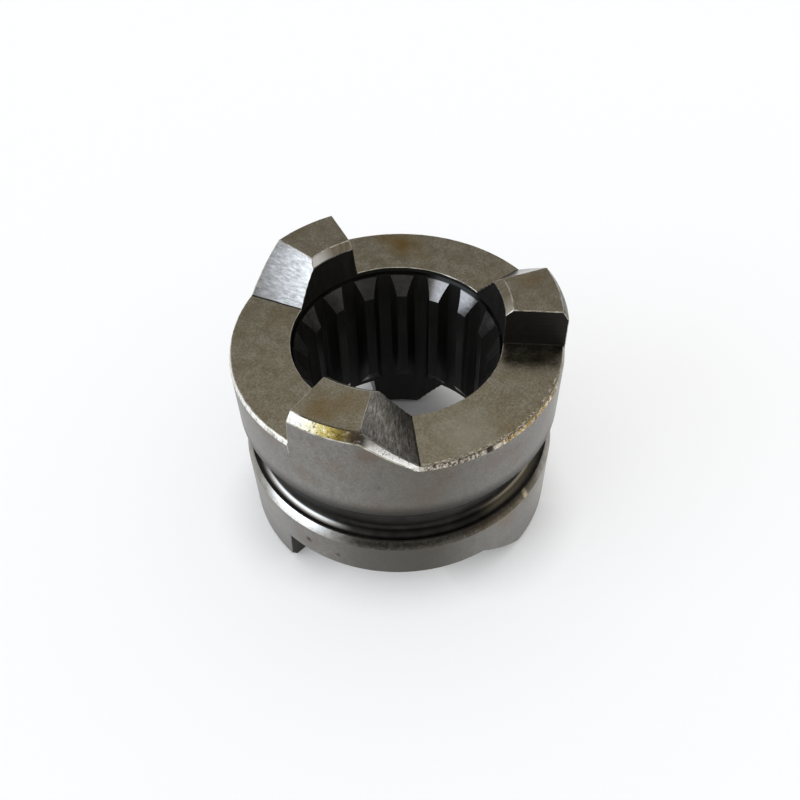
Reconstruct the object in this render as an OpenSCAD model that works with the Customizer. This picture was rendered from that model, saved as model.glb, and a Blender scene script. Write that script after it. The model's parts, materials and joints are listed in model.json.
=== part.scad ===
// Splined dog clutch sleeve, one piece of steel. It slides on a splined shaft and is pushed by a fork in its
// groove, so that the dogs on one end or the other catch the dogs of a gear beside it.
// Units are millimetres, +Z is up along the shaft axis, and z = 0 is the plane that the lower dogs stand on.
// It is one solid: a turned blank with the spline and the gaps between the dogs cut from it.

/* [Body] */
// Outside diameter of drum and flange
outer_d = 47.5; // [45:0.5:54]
// Drum wall from the upper ring face to the groove edge
drum_h = 9.9; // [8:0.1:16]
// Flange wall from the lower ring face to the groove edge
flange_h = 6.05; // [5:0.05:10]
// Width of the bevel on both edges of the groove, along the radius
edge_r = 0.75; // [0.4:0.05:1.2]
// Height of the same bevel, along the axis
edge_z = 1.35; // [0.8:0.05:2]

/* [Fork groove] */
// Width of the groove between its two walls
groove_w = 6.2; // [5:0.1:9]
// Depth of the groove below the outside
groove_depth = 2.35; // [2:0.05:3.2]
// Radius in both corners of the groove floor
groove_fillet = 1.6; // [0.4:0.05:1.6]

/* [Upper dogs] */
// Height of the upper dogs above their ring face
dog_h = 5.75; // [4.5:0.05:8]
// Angle that the flat top of an upper dog takes up
dog_flat = 24; // [16:0.5:32]
// Angle that the ramp of an upper dog takes up
dog_ramp = 17.8; // [12:0.1:26]
// Angle of the driving edge of the first upper dog
dog_clock = 234.2; // [180:0.1:300]

/* [Lower dogs] */
// Height of the lower dogs below their ring face
low_dog_h = 6.65; // [4.5:0.05:8]
// Angle that the flat tip of a lower dog takes up
low_dog_flat = 24; // [16:0.5:32]
// Angle that the ramp of a lower dog takes up
low_dog_ramp = 19.6; // [12:0.1:26]
// Angle of the driving edge of the first lower dog
low_dog_clock = 223.8; // [180:0.1:300]

/* [All dogs] */
// Dogs on each end
dog_count = 3; // [2:1:4]
// Lean of the driving faces, which makes a dog wider at its foot
draft = 5; // [1:0.5:8]
// Bevel of the dog tips on the outside, along the radius
tip_bevel_r = 0.9; // [0.4:0.05:1.4]
// Bevel of the dog tips on the outside, along the axis
tip_bevel_z = 1.35; // [0.6:0.05:2]
// Bevel of the dog tips on the bore side
bore_bevel = 1.0; // [0.4:0.05:1.6]
// Edge bevel of the upper ring face between the dogs, along the radius
ring_bevel_r = 0.3; // [0.15:0.05:0.7]
// Edge bevel of the upper ring face between the dogs, along the axis
ring_bevel_z = 0.75; // [0.3:0.05:1.2]
// Edge bevel of the lower ring face between the dogs, in both directions
low_ring_bevel = 0.25; // [0.15:0.05:0.6]

/* [Bore] */
// Diameter of the plain bore at both ring faces and inside the dogs
bore_d = 30.1; // [29.8:0.1:32]
// Depth of the plain bore below a ring face, before the lead-in cone starts
lead_step = 0.65; // [0.3:0.05:1.2]
// Half angle of the lead-in cone that cuts the ends of the spline teeth
lead_angle = 30; // [22:1:45]

/* [Spline] */
// Number of spline teeth
spline_teeth = 16; // [14:1:16]
// Module, which is pitch diameter over the number of teeth
spline_module = 1.75; // [1.6:0.01:1.76]
// Flank angle at the pitch circle
spline_angle = 30; // [28:0.5:32]
// Height of the teeth inside the pitch circle
spline_in = 0.96; // [0.6:0.02:1.1]
// Depth of the spaces outside the pitch circle
spline_out = 0.83; // [0.6:0.01:0.83]
// Play of the shaft's teeth in the spaces, measured along the pitch circle
spline_play = 0.08; // [0:0.01:0.2]
// Angle of the middle of the first spline tooth
spline_clock = 63.04; // [52:0.01:74]

/* [Hidden] */
$fn = 96;
R = outer_d / 2;
Rb = bore_d / 2;
pitch_r = spline_module * spline_teeth / 2;
tooth_r = pitch_r - spline_in;
space_r = pitch_r + spline_out;
cone_h = (Rb - tooth_r) / tan(lead_angle);
floor_r = R - groove_depth;
wall_r = R - edge_r;
corner_r = min(groove_fillet, groove_depth - edge_r, groove_w / 2 - 0.2);
// Levels from the bottom up
z_low = low_dog_h;
z_flange = z_low + flange_h;
z_groove = z_flange + edge_z;
z_groove_top = z_groove + groove_w;
z_drum = z_groove_top + edge_z;
z_ring = z_drum + drum_h;
z_top = z_ring + dog_h;
dog_pitch = 360 / dog_count;

// Section of the turned blank, as radius and height, before the gaps between the dogs are cut
module blank_section() {
    polygon([
        [Rb + bore_bevel, 0], [R - tip_bevel_r, 0], [R, tip_bevel_z],
        [R, z_flange], [wall_r, z_groove], [floor_r, z_groove],
        [floor_r, z_groove_top], [wall_r, z_groove_top], [R, z_drum],
        [R, z_top - tip_bevel_z], [R - tip_bevel_r, z_top], [Rb + bore_bevel, z_top],
        [Rb, z_top - bore_bevel], [Rb, z_ring - lead_step], [tooth_r, z_ring - lead_step - cone_h],
        [tooth_r, z_low + lead_step + cone_h], [Rb, z_low + lead_step], [Rb, bore_bevel]
    ]);
    // Round corners of the groove floor
    for (up = [0, 1])
        translate([floor_r, up ? z_groove_top : z_groove]) mirror([0, up])
            difference() {
                translate([-0.5, -0.5]) square(corner_r + 0.5);
                translate([corner_r, corner_r]) circle(r = corner_r);
            }
}

// Half angle of a spline space at radius r, for involute flanks
function inv(a) = tan(a) * 180 / PI - a;
function space_half(r) =
    90 / spline_teeth + spline_play / 2 / pitch_r * 180 / PI
    + inv(spline_angle) - inv(acos(pitch_r * cos(spline_angle) / r));
function flank_r(i) = tooth_r - 0.25 + (space_r + 0.2 - tooth_r + 0.25) * i / 5;
function at(r, a) = [r * cos(a), r * sin(a)];

// Section of the spline spaces: involute flanks, and a round floor on the major circle
module spline_section() {
    intersection() {
        circle(r = space_r);
        for (k = [0 : spline_teeth - 1])
            rotate(spline_clock + (k - 0.5) * 360 / spline_teeth)
                polygon(concat(
                    [for (i = [0 : 5]) at(flank_r(i), -space_half(flank_r(i)))],
                    [for (i = [5 : -1 : 0]) at(flank_r(i), space_half(flank_r(i)))]
                ));
    }
}

// What stays under the ramp of a dog whose driving edge is at angle 0. The ramp is a screw surface from the
// flat top down to the ring face, and its outer edge is bevelled. br and bz are the bevel of the ring face.
module under_ramp(h, flat, ramp, br, bz) {
    steps = 9;
    tail = 2 / h;
    base = -9;
    // Share of the dog's height that the ramp has at step i, with two steps before it for the flat top
    function t(i) = 1.15 - (1.15 + tail) * max(i - 2, 0) / steps;
    function turn(i) = i < 2 ? -16 + i * (flat + 8) / 2 : flat + ramp * (1 - t(i));
    function share(i) = max(0, min(1, t(i)));
    function edge_w(i) = br + (tip_bevel_r - br) * share(i);
    function edge_h(i) = bz + (tip_bevel_z - bz) * share(i);
    function row(i) = [
        for (p = [
            [Rb * 0.7, base], [R + 0.6, base],
            [R + 0.6, h * t(i) - edge_h(i) * (edge_w(i) + 0.6) / edge_w(i)],
            [R - edge_w(i), h * t(i)], [(Rb + R) / 2, h * t(i)], [Rb * 0.7, h * t(i)]
        ]) [p[0] * cos(turn(i)), p[0] * sin(turn(i)), p[1]]
    ];
    last = steps + 2;
    points = [for (i = [0 : last]) each row(i)];
    sides = [
        for (i = [0 : last - 1]) for (k = [0 : 5])
            let (a = 6 * i + k, b = 6 * i + (k + 1) % 6)
                each [[a, b, a + 6], [b, b + 6, a + 6]]
    ];
    ends = [[5, 4, 3, 2, 1, 0], [for (k = [0 : 5]) 6 * last + k]];
    polyhedron(points, concat(sides, ends), convexity = 4);
}

// What is cut away above a ring face at z = 0: a whole ring, less the dogs that are left standing.
// The first driving edge is at angle 0. br and bz bevel the outer edge of the ring face.
module gaps(h, flat, ramp, br, bz) {
    difference() {
        rotate_extrude() polygon([
            [Rb - 2, 0], [R - br, 0], [R + 0.5, -bz * (br + 0.5) / br], [R + 0.5, h + 1], [Rb - 2, h + 1]
        ]);
        for (k = [0 : dog_count - 1]) rotate([0, 0, k * dog_pitch])
            intersection() {
                under_ramp(h, flat, ramp, br, bz);
                // The driving face leans back from its tip edge
                translate([0, 0, h]) rotate([-draft, 0, 0]) translate([0, 0, -h - 10])
                    cube([R + 5, R + 5, h + 20]);
            }
    }
}

// The whole sleeve: the turned blank, less the spline spaces and the gaps between the dogs on both ends
module clutch_sleeve() {
    color("#6f6b62")
    difference() {
        rotate_extrude() blank_section();
        translate([0, 0, z_low - 1]) linear_extrude(z_ring - z_low + 2) spline_section();
        translate([0, 0, z_ring]) rotate([0, 0, dog_clock])
            gaps(dog_h, dog_flat, dog_ramp, ring_bevel_r, ring_bevel_z);
        translate([0, 0, z_low]) rotate([180, 0, low_dog_clock])
            gaps(low_dog_h, low_dog_flat, low_dog_ramp, low_ring_bevel, low_ring_bevel);
    }
}

clutch_sleeve();
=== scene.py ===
# %% [markdown]
# # A dog clutch sleeve in hardened steel
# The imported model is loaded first, as a fixed frame. Everything below is in metres in that same frame: +Z
# is the shaft axis, z = 0 is the plane that the lower dogs stand on, and the photo is taken from the -Y
# side. Sizes are written in millimetres and multiplied by MM where Blender needs metres.

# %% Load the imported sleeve
import json
import math
import bmesh
import bpy
from mathutils import Matrix, Vector, noise

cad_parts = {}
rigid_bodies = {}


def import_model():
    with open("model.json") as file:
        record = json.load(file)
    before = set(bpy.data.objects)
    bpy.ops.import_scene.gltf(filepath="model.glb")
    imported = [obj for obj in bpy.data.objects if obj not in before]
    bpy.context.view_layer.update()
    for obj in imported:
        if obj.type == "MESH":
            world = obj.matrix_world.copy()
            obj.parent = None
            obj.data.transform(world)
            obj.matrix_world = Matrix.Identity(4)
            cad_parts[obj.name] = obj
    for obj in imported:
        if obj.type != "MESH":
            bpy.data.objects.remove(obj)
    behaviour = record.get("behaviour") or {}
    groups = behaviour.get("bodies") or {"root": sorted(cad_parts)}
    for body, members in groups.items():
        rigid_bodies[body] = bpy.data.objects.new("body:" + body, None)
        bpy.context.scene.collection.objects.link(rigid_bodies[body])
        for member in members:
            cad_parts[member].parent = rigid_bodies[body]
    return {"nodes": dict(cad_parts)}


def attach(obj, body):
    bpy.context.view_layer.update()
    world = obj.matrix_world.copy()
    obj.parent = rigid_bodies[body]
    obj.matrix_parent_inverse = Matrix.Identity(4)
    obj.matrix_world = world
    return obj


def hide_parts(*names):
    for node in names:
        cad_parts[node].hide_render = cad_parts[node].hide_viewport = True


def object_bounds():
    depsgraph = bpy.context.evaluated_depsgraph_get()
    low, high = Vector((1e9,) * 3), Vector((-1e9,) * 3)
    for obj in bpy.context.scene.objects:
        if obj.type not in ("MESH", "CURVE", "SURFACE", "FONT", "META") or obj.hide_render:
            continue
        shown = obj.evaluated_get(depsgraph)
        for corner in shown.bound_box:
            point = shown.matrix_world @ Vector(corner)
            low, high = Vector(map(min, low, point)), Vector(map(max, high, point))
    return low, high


for spare in list(bpy.data.objects):
    bpy.data.objects.remove(spare)
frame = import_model()
cad_low, cad_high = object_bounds()
cad_sleeve = frame["nodes"]["clutch_sleeve"]
MM = 0.001
print("sleeve size in mm", [round((b - a) / MM, 2) for a, b in zip(cad_low, cad_high)])

# %% [markdown]
# ## Sizes that the looks refer to
# The finish changes from surface to surface, so the script has to know where the surfaces lie. These are
# the levels, radii and angles of the turned blank and its dogs, as they are in the part's source. Angles
# are in degrees, anticlockwise from +X as seen from above.

# %% Levels, radii and dog angles
OUTSIDE_R = 23.75
BORE_R = 15.05
LOW_RING_Z = 6.65
FLANGE_Z = 12.70
GROOVE_LOW_Z = 14.05
GROOVE_HIGH_Z = 20.25
DRUM_Z = 21.60
RING_Z = 31.50
TOP_Z = 37.25
UPPER_RAMP_DEGREES = 17.8
LOWER_RAMP_DEGREES = 19.6
# Rise of the ramps in millimetres for each radian round the axis
UPPER_RAMP = (TOP_Z - RING_Z) / math.radians(UPPER_RAMP_DEGREES)
LOWER_RAMP = LOW_RING_Z / math.radians(LOWER_RAMP_DEGREES)
print("ramps rise", round(UPPER_RAMP, 2), "and", round(LOWER_RAMP, 2), "mm for each radian")

# %% [markdown]
# ## Camera
# The camera stands in front of the sleeve and looks down on it. Its distance, height and lens were worked
# out from the round edges in the photo. It doesn't aim at the sleeve's middle, because the sleeve sits a
# little above the middle of the picture, so three small turns follow: sideways, down, and about its own
# axis.

# %% Camera
# The distance is in millimetres and the angles are in degrees
CAMERA_DISTANCE = 122.89
CAMERA_ELEVATION = 44.053
CAMERA_TURN = -0.118
CAMERA_NOD = -4.260
CAMERA_ROLL = 1.600
FOCAL_PIXELS = 863.48
PICTURE_PIXELS = 800
SENSOR_MM = 36
NEAREST_M = 0.005
FARTHEST_M = 20

rise = math.radians(CAMERA_ELEVATION)
away = Vector((0, -math.cos(rise), math.sin(rise)))
eye = Vector((0, 0, RING_Z)) + away * CAMERA_DISTANCE
forward = -away
right = Vector((1, 0, 0))
up = right.cross(forward)
for angle, axis_name in ((CAMERA_TURN, "up"), (CAMERA_NOD, "right"), (CAMERA_ROLL, "forward")):
    axis = {"up": up, "right": right, "forward": forward}[axis_name]
    turn = Matrix.Rotation(math.radians(angle), 3, axis)
    forward = turn @ forward
    right = turn @ right
    up = turn @ up

camera_data = bpy.data.cameras.new("camera")
camera_data.sensor_width = SENSOR_MM
camera_data.lens = SENSOR_MM * FOCAL_PIXELS / PICTURE_PIXELS
camera_data.clip_start = NEAREST_M
camera_data.clip_end = FARTHEST_M
camera = bpy.data.objects.new("camera", camera_data)
bpy.context.scene.collection.objects.link(camera)
facing = Matrix((right, up, -forward)).transposed()
camera.matrix_world = Matrix.Translation(eye * MM) @ facing.to_4x4()
bpy.context.scene.camera = camera
print("camera at", [round(v, 1) for v in eye], "mm, lens", round(camera_data.lens, 2))

# %% [markdown]
# ## A clean copy of the sleeve
# Every edge of the real sleeve was broken by a file, a grinding wheel or a tumbling drum, and catches the
# light as a thin bright line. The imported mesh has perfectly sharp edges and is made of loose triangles. A
# copy of it is merged, its flat faces are joined again, and it gets its worn edges below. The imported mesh
# stays as it is.

# %% Copy the sleeve and clean its mesh
MERGE_MM = 0.02
FLAT_DEGREES = 0.3

sleeve = cad_sleeve.copy()
sleeve.name = "worn_clutch_sleeve"
sleeve.data = cad_sleeve.data.copy()
sleeve.data.name = "worn_clutch_sleeve"
for key in list(sleeve.keys()):
    del sleeve[key]
sleeve.parent = None
sleeve.data.materials.clear()
bpy.context.scene.collection.objects.link(sleeve)
bpy.ops.object.select_all(action="DESELECT")
sleeve.select_set(True)
bpy.context.view_layer.objects.active = sleeve
bpy.ops.object.mode_set(mode="EDIT")
bpy.ops.mesh.select_all(action="SELECT")
bpy.ops.mesh.customdata_custom_splitnormals_clear()
bpy.ops.mesh.remove_doubles(threshold=MERGE_MM * MM)
bpy.ops.mesh.dissolve_limited(angle_limit=math.radians(FLAT_DEGREES))
bpy.ops.object.mode_set(mode="OBJECT")
print("clean mesh:", len(sleeve.data.vertices), "points,", len(sleeve.data.polygons), "faces")

# %% [markdown]
# ## Colours and nodes
# Colours are written as they look on screen and turned to linear light by one function. Another small
# function adds a node with its settings and links, so that a material reads as a list of steps. The
# patterns read Object coordinates in millimetres. Much on a turned part runs round its axis, so each
# material can also use the angle about the axis, the radius and the height of a point.

# %% Helpers for materials
TIMES = {"operation": "MULTIPLY"}
PLUS = {"operation": "ADD"}
MINUS = {"operation": "SUBTRACT"}
COLOUR_MIX = {"data_type": "RGBA"}
COLOUR_TIMES = {"data_type": "RGBA", "blend_type": "MULTIPLY"}
NUMBER_MIX = {"data_type": "FLOAT"}
SOFT = {"interpolation_type": "SMOOTHSTEP"}


def linear(hex_colour):
    channels = [int(hex_colour[i:i + 2], 16) / 255 for i in (1, 3, 5)]
    bent = [c / 12.92 if c <= 0.04045 else ((c + 0.055) / 1.055) ** 2.4 for c in channels]
    return (*bent, 1.0)


def add(tree, kind, settings=None, **links):
    """Adds a node. A link named i0, i1 and so on is an input's number, any other its name."""
    node = tree.nodes.new(kind)
    for name, value in (settings or {}).items():
        setattr(node, name, value)
    for name, value in links.items():
        key = int(name[1:]) if name[0] == "i" and name[1:].isdigit() else name.replace("_", " ")
        socket = node.inputs[key]
        if isinstance(value, bpy.types.NodeSocket):
            tree.links.new(value, socket)
        else:
            socket.default_value = value
    return node


def new_steel(name, roughness, metallic=1.0):
    """An empty metal with its shader, and the place, angle, radius and height of a point in millimetres."""
    material = bpy.data.materials.new(name)
    material.use_nodes = True
    tree = material.node_tree
    tree.nodes.clear()
    output = add(tree, "ShaderNodeOutputMaterial")
    shader = add(tree, "ShaderNodeBsdfPrincipled", Metallic=metallic, Roughness=roughness)
    tree.links.new(shader.outputs["BSDF"], output.inputs["Surface"])
    where = add(tree, "ShaderNodeTexCoord")
    place = add(tree, "ShaderNodeVectorMath", {"operation": "SCALE"}, Vector=where.outputs["Object"],
                Scale=1 / MM)
    axes = add(tree, "ShaderNodeSeparateXYZ", Vector=place.outputs[0])
    angle = add(tree, "ShaderNodeMath", {"operation": "ARCTAN2"}, i0=axes.outputs["Y"], i1=axes.outputs["X"])
    level = add(tree, "ShaderNodeCombineXYZ", X=axes.outputs["X"], Y=axes.outputs["Y"])
    radius = add(tree, "ShaderNodeVectorMath", {"operation": "LENGTH"}, Vector=level.outputs[0])
    spots = {"place": place.outputs[0], "angle": angle.outputs[0], "radius": radius.outputs["Value"],
             "height": axes.outputs["Z"]}
    return material, tree, shader, spots


def band(tree, value, low, high, soft):
    """1 between low and high and 0 outside, with ends that are soft over twice the given amount."""
    start = add(tree, "ShaderNodeMapRange", SOFT, Value=value, From_Min=low - soft, From_Max=low + soft)
    end = add(tree, "ShaderNodeMapRange", SOFT, Value=value, From_Min=high + soft, From_Max=high - soft)
    return add(tree, "ShaderNodeMath", TIMES, i0=start.outputs[0], i1=end.outputs[0]).outputs[0]


def arc(tree, angle, start_degrees, end_degrees, soft_degrees):
    """1 between two angles about the axis, given from 180 to 540 degrees, so that it may cross +X."""
    low, high, soft = (math.radians(a) for a in (start_degrees - 360, end_degrees - 360, soft_degrees))
    return band(tree, angle, low, high, soft)


def stain(tree, place, middle, reach):
    """1 in the middle of a round mark and 0 at its reach, both in millimetres."""
    far = add(tree, "ShaderNodeVectorMath", {"operation": "DISTANCE"}, i0=place, i1=middle)
    fade = add(tree, "ShaderNodeMapRange", SOFT, Value=far.outputs["Value"], From_Min=reach, From_Max=0.0)
    return fade.outputs[0]


def ragged(tree, place, scale, amount):
    """The place of a point, pushed about by a noise so that an outline that uses it gets ragged."""
    push = add(tree, "ShaderNodeTexNoise", Vector=place, Scale=scale, Detail=3.0)
    centred = add(tree, "ShaderNodeVectorMath", MINUS, i0=push.outputs["Color"],
                  i1=(0.5, 0.5, 0.5))
    moved = add(tree, "ShaderNodeVectorMath", {"operation": "SCALE"}, Vector=centred.outputs[0], Scale=amount)
    return add(tree, "ShaderNodeVectorMath", PLUS, i0=place, i1=moved.outputs[0]).outputs[0]


# %% [markdown]
# ## Hardened satin skin
# The ring faces and the tops of the dogs were ground, case-hardened and oiled. That leaves a thin
# brown-grey oxide skin that still mirrors its surroundings softly. Up close it is a fine grain of light and
# dark dots over cloudy patches about 2 mm wide, with rust where the oil ran off. It is a metal with a dark
# base colour, since the oxide takes most of the shine away.

# %% Satin skin of the ring faces and dog tops
# Where the rim of the ring is chipped: its inner radius, and its start, end and softness in degrees
RIM_R = 23.1
CHIPPED_RIM = (277.0, 338.0, 3.0)

satin, tree, shader, at = new_steel("hardened_satin_steel", 0.26)
clouds = add(tree, "ShaderNodeTexNoise", Vector=at["place"], Scale=0.45, Detail=5.0, Roughness=0.62)
cloud_share = add(tree, "ShaderNodeMapRange", Value=clouds.outputs[0], From_Min=0.34, From_Max=0.66)
skin = add(tree, "ShaderNodeMix", COLOUR_MIX, Factor=cloud_share.outputs[0], i6=linear("#6e6654"),
           i7=linear("#7d7768"))
# Grain dots of about 0.25 mm. The real ones are finer, and would vanish at this picture's size.
grain = add(tree, "ShaderNodeTexNoise", Vector=at["place"], Scale=3.6, Detail=3.0, Roughness=0.75)
grain_share = add(tree, "ShaderNodeMapRange", Value=grain.outputs[0], From_Min=0.30, From_Max=0.70,
                  To_Min=0.66, To_Max=1.34)
dotted = add(tree, "ShaderNodeMix", COLOUR_TIMES, Factor=1.0, i6=skin.outputs[2],
             i7=grain_share.outputs[0])
# Rust at the back of the ring and brown stains elsewhere: middle, reach and share of each
edgy = ragged(tree, at["place"], 0.6, 3.2)
RUST_PLACES = [((1.3, 20.6, RING_Z), 4.2, 0.95), ((3.6, 17.6, RING_Z), 2.6, 0.35),
               ((-1.5, 22.6, RING_Z), 2.6, 0.6), ((-9.6, -18.6, TOP_Z), 3.6, 0.62),
               ((-6.2, -17.4, TOP_Z), 2.8, 0.45), ((19.0, 4.5, TOP_Z), 2.6, 0.5),
               ((-17.0, 4.0, RING_Z), 3.0, 0.25), ((14.0, -17.5, RING_Z), 4.0, 0.25)]
colour = dotted.outputs[2]
for middle, reach, share in RUST_PLACES:
    mask = stain(tree, edgy, middle, reach)
    amount = add(tree, "ShaderNodeMath", TIMES, i0=mask, i1=share)
    colour = add(tree, "ShaderNodeMix", COLOUR_MIX, Factor=amount.outputs[0], i6=colour,
                 i7=linear("#665128")).outputs[2]
# The ring is lighter in front
lighter_front = stain(tree, edgy, (8.6, -18.3, RING_Z), 6.5)
lighter_front_share = add(tree, "ShaderNodeMath", TIMES, i0=lighter_front, i1=0.5)
colour = add(tree, "ShaderNodeMix", COLOUR_MIX, Factor=lighter_front_share.outputs[0], i6=colour,
             i7=linear("#8d887b")).outputs[2]
# The front rim of the ring is chipped: flecks of bare and of brown steel reach in from its bevel
flecks = add(tree, "ShaderNodeTexNoise", Vector=at["place"], Scale=2.2, Detail=3.0, Roughness=0.7)
fleck_share = add(tree, "ShaderNodeMapRange", Value=flecks.outputs[0], From_Min=0.42, From_Max=0.58)
fleck = add(tree, "ShaderNodeMix", COLOUR_MIX, Factor=fleck_share.outputs[0], i6=linear("#3f3426"),
            i7=linear("#b0a591"))
frayed = add(tree, "ShaderNodeMath", PLUS, i0=at["radius"], i1=flecks.outputs[0])
rim = add(tree, "ShaderNodeMapRange", SOFT, Value=frayed.outputs[0], From_Min=RIM_R + 0.4,
          From_Max=RIM_R + 0.7)
rim_length = arc(tree, at["angle"], *CHIPPED_RIM)
on_ring = band(tree, at["height"], RING_Z - 0.2, RING_Z + 0.2, 0.1)
rim_there = add(tree, "ShaderNodeMath", TIMES, i0=rim.outputs[0], i1=rim_length)
rim_share = add(tree, "ShaderNodeMath", TIMES, i0=rim_there.outputs[0], i1=on_ring)
colour = add(tree, "ShaderNodeMix", COLOUR_MIX, Factor=rim_share.outputs[0], i6=colour,
             i7=fleck.outputs[2]).outputs[2]
# Small dark pits
pits = add(tree, "ShaderNodeTexVoronoi", Vector=edgy, Scale=0.55, Randomness=1.0)
pit_share = add(tree, "ShaderNodeMapRange", SOFT, Value=pits.outputs["Distance"], From_Min=0.10,
                From_Max=0.04)
pit_weak = add(tree, "ShaderNodeMath", TIMES, i0=pit_share.outputs[0], i1=0.45)
colour = add(tree, "ShaderNodeMix", COLOUR_MIX, Factor=pit_weak.outputs[0], i6=colour,
             i7=linear("#3b3428")).outputs[2]
tree.links.new(colour, shader.inputs["Base Color"])
shine = add(tree, "ShaderNodeMapRange", Value=clouds.outputs[0], From_Min=0.3, From_Max=0.7, To_Min=0.20,
            To_Max=0.32)
tree.links.new(shine.outputs[0], shader.inputs["Roughness"])
relief = add(tree, "ShaderNodeBump", Strength=0.35, Distance=0.01 * MM, Height=grain.outputs[0])
tree.links.new(relief.outputs[0], shader.inputs["Normal"])
print(satin.name, "has", len(tree.nodes), "nodes")

# %% [markdown]
# ## Turned drum
# The outside was turned and then hardened with the rest. The fine turning grooves spread a reflection, so
# the wall is rougher than the ground faces, and the heat has left it a mottled grey with faint brown tints.
# The mottling is about 1.3 mm wide and nearly twice as tall, as the oil ran down it.

# %% Turned wall of drum and flange
drum, tree, shader, at = new_steel("turned_drum_steel", 0.46)
stretched = add(tree, "ShaderNodeVectorMath", TIMES, i0=at["place"], i1=(1.0, 1.0, 0.55))
clouds = add(tree, "ShaderNodeTexNoise", Vector=stretched.outputs[0], Scale=0.75, Detail=6.0, Roughness=0.66)
cloud_share = add(tree, "ShaderNodeMapRange", Value=clouds.outputs[0], From_Min=0.32, From_Max=0.68)
skin = add(tree, "ShaderNodeMix", COLOUR_MIX, Factor=cloud_share.outputs[0], i6=linear("#666460"),
           i7=linear("#7d7b77"))
tints = add(tree, "ShaderNodeTexNoise", Vector=at["place"], Scale=0.16, Detail=3.0)
tint_share = add(tree, "ShaderNodeMapRange", SOFT, Value=tints.outputs[0], From_Min=0.50, From_Max=0.72,
                 To_Max=0.7)
tinted = add(tree, "ShaderNodeMix", COLOUR_MIX, Factor=tint_share.outputs[0], i6=skin.outputs[2],
             i7=linear("#6a5f55"))
# Grain dots of about 0.3 mm, drawn coarser than the real ones so that they show
grain = add(tree, "ShaderNodeTexNoise", Vector=at["place"], Scale=3.0, Detail=3.0, Roughness=0.75)
grain_share = add(tree, "ShaderNodeMapRange", Value=grain.outputs[0], From_Min=0.3, From_Max=0.7, To_Min=0.77,
                  To_Max=1.25)
dotted = add(tree, "ShaderNodeMix", COLOUR_TIMES, Factor=1.0, i6=tinted.outputs[2],
             i7=grain_share.outputs[0])
edgy = ragged(tree, at["place"], 0.8, 2.0)
# Brown tints below the front dog and on the front of the drum, the two dark nicks in the flange, and three
# lighter places at the sides, which are painted reflections: middle, reach, share and colour of each. The
# front of drum and flange is darker, painted shade darkens the front of the flange further and turns the drum
# black towards the groove.
DRUM_STAINS_AND_SHEEN = [((-4.1, -23.4, 34.0), 2.6, 0.5, "#5d4a3c"), ((3.7, -23.5, 25.5), 3.4, 0.35, "#5f5044"),
              ((12.0, -20.5, 28.5), 3.5, 0.35, "#6a5852"), ((-13.55, -19.5, 9.8), 0.8, 1.0, "#0c0b09"),
              ((-9.3, -21.9, 9.1), 0.55, 0.9, "#1d1a15"), ((15.4, -18.1, 11.4), 3.4, 0.5, "#6b563c"),
              ((4.5, -23.3, 12.2), 2.2, 0.4, "#4b4238"), ((-2.9, -23.6, 27.5), 0.8, 0.45, "#45413a"),
              # The last three marks are painted reflections that make the sides lighter
              ((22.4, -7.6, 27.0), 8.0, 0.55, "#918f87"), ((22.0, -8.6, 9.5), 8.0, 0.6, "#958f84"),
              ((-18.6, -14.6, 9.0), 7.0, 0.5, "#8e8e8d")]
front = arc(tree, at["angle"], 262.0, 292.0, 20.0)
film = add(tree, "ShaderNodeMath", TIMES, i0=front, i1=0.68)
colour = add(tree, "ShaderNodeMix", COLOUR_MIX, Factor=film.outputs[0], i6=dotted.outputs[2],
             i7=linear("#4f4a42")).outputs[2]
# Painted shade: the drum turns black towards the groove, below its rounded lower edge
by_groove = add(tree, "ShaderNodeMapRange", SOFT, Value=at["height"], From_Min=DRUM_Z + 2.4,
                From_Max=DRUM_Z - 0.2, To_Max=0.85)
above = add(tree, "ShaderNodeMath", {"operation": "GREATER_THAN"}, i0=at["height"], i1=FLANGE_Z + 1.0)
shade = add(tree, "ShaderNodeMath", TIMES, i0=by_groove.outputs[0], i1=above.outputs[0])
colour = add(tree, "ShaderNodeMix", COLOUR_MIX, Factor=shade.outputs[0], i6=colour,
             i7=linear("#201e1b")).outputs[2]
# Painted shade: the front of the flange is darkened further
on_flange = band(tree, at["height"], -1.0, FLANGE_Z, 0.1)
flange_front = arc(tree, at["angle"], 246.0, 290.0, 14.0)
flange_front_shade = add(tree, "ShaderNodeMath", TIMES, i0=on_flange, i1=flange_front)
flange_share = add(tree, "ShaderNodeMath", TIMES, i0=flange_front_shade.outputs[0], i1=0.6)
colour = add(tree, "ShaderNodeMix", COLOUR_MIX, Factor=flange_share.outputs[0], i6=colour,
             i7=linear("#35322c")).outputs[2]
for middle, reach, share, hex_colour in DRUM_STAINS_AND_SHEEN:
    mask = stain(tree, edgy if reach > 1 else at["place"], middle, reach)
    amount = add(tree, "ShaderNodeMath", TIMES, i0=mask, i1=share)
    colour = add(tree, "ShaderNodeMix", COLOUR_MIX, Factor=amount.outputs[0], i6=colour,
                 i7=linear(hex_colour)).outputs[2]
tree.links.new(colour, shader.inputs["Base Color"])
shine = add(tree, "ShaderNodeMapRange", Value=clouds.outputs[0], From_Min=0.3, From_Max=0.7, To_Min=0.40,
            To_Max=0.54)
tree.links.new(shine.outputs[0], shader.inputs["Roughness"])
# Turning grooves about 0.12 mm apart, with the grain
rings = add(tree, "ShaderNodeTexNoise", {"noise_dimensions": "1D"}, W=at["height"], Scale=8.0, Detail=2.0)
height = add(tree, "ShaderNodeMath", PLUS, i0=rings.outputs[0], i1=grain.outputs[0])
relief = add(tree, "ShaderNodeBump", Strength=0.3, Distance=0.01 * MM, Height=height.outputs[0])
tree.links.new(relief.outputs[0], shader.inputs["Normal"])
print(drum.name, "has", len(tree.nodes), "nodes")
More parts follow.
